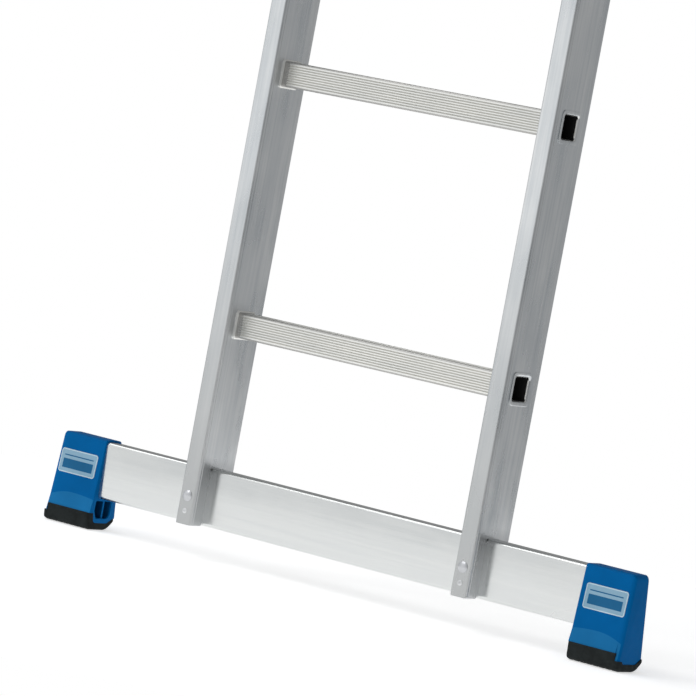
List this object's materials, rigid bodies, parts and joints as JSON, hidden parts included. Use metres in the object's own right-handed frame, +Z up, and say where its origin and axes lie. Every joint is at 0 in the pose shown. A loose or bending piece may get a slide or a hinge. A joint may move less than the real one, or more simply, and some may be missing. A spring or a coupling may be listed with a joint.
{
  "type": "extension ladder",
  "caption": "Two-section aluminium push-up extension ladder with grooved square rungs, hooked sliding fly section, guide brackets and a wide stabiliser crossbar on rubber-soled feet.",
  "frame": {"origin": "on the floor, below the centre of the ladder's bounding box", "axes": "+X along the rungs, +Y from the climber's side to the back, +Z up the stiles"},
  "size_m": [0.79, 0.1282, 3.486],
  "materials": {
    "stile_aluminium": "mill-finish extrusion with fine lengthwise draw lines",
    "rung_aluminium": "mill-finish extrusion, fluted for grip",
    "crossbar_aluminium": "pale satin extrusion",
    "bracket_aluminium": "folded strip, satin",
    "rivet_aluminium": "drawn, slightly polished",
    "zinc_steel": "bright zinc plating",
    "hook_steel": "zinc-plated pressed plate",
    "spring_steel": "oiled spring wire",
    "cap_plastic": "blue moulded plastic with a fine satin grain",
    "latch_plastic": "blue moulded plastic",
    "label_plastic": "pale blank plate with a raised rim",
    "plug_plastic": "dark grey moulded plastic",
    "sole_rubber": "matt charcoal rubber"
  },
  "bodies": {
    "base": {"base_stile_right": "stile_aluminium", "base_stile_left": "stile_aluminium", "base_rung_1": "rung_aluminium", "base_rung_2": "rung_aluminium", "base_rung_3": "rung_aluminium", "base_rung_4": "rung_aluminium", "base_rung_5": "rung_aluminium", "base_rung_6": "rung_aluminium", "base_rung_7": "rung_aluminium", "base_rung_8": "rung_aluminium", "base_rung_9": "rung_aluminium", "crossbar": "crossbar_aluminium", "crossbar_bolts": "zinc_steel", "crossbar_nuts": "zinc_steel", "bolt_sleeves": "zinc_steel", "crossbar_rivets": "rivet_aluminium", "cap_rivets": "rivet_aluminium", "guide_rivets": "rivet_aluminium", "foot_cap_right": "cap_plastic", "foot_sole_right": "sole_rubber", "label_plate_right": "label_plastic", "base_top_plug_right": "plug_plastic", "guide_bracket_right": "bracket_aluminium", "guide_liner_right": "plug_plastic", "foot_cap_left": "cap_plastic", "foot_sole_left": "sole_rubber", "label_plate_left": "label_plastic", "base_top_plug_left": "plug_plastic", "guide_bracket_left": "bracket_aluminium", "guide_liner_left": "plug_plastic"},
    "fly": {"fly_stile_right": "stile_aluminium", "fly_stile_left": "stile_aluminium", "fly_rung_1": "rung_aluminium", "fly_rung_2": "rung_aluminium", "fly_rung_3": "rung_aluminium", "fly_rung_4": "rung_aluminium", "fly_rung_5": "rung_aluminium", "fly_rung_6": "rung_aluminium", "fly_rung_7": "rung_aluminium", "fly_rung_8": "rung_aluminium", "fly_rung_9": "rung_aluminium", "fly_top_plug_right": "plug_plastic", "fly_foot_plug_right": "plug_plastic", "fly_top_plug_left": "plug_plastic", "fly_foot_plug_left": "plug_plastic", "hook_rivets": "rivet_aluminium", "slide_pad_right": "plug_plastic", "slide_pad_left": "plug_plastic", "rung_hook_right": "hook_steel", "rung_hook_left": "hook_steel", "latch_pin_right": "zinc_steel", "latch_pin_left": "zinc_steel", "latch_spring_right": "spring_steel", "latch_spring_left": "spring_steel"},
    "right_latch": {"safety_latch_right": "latch_plastic"},
    "left_latch": {"safety_latch_left": "latch_plastic"}
  },
  "joints": [
    {"name": "fly_slide", "type": "slide", "parent": "base", "child": "fly", "axis": [0, 0, 1], "range_m": [-0.84, 0.84]},
    {"name": "right_latch_hinge", "type": "hinge", "parent": "fly", "child": "right_latch", "pos_m": [0.168, 0.0001, 1.071], "axis": [-1, 0, 0], "range_deg": [0, 90], "stiffness_Nm_per_rad": 0.02, "springref_deg": -45.84},
    {"name": "left_latch_hinge", "type": "hinge", "parent": "fly", "child": "left_latch", "pos_m": [-0.168, 0.0001, 1.071], "axis": [-1, 0, 0], "range_deg": [0, 90], "stiffness_Nm_per_rad": 0.02, "springref_deg": -45.84}
  ]
}
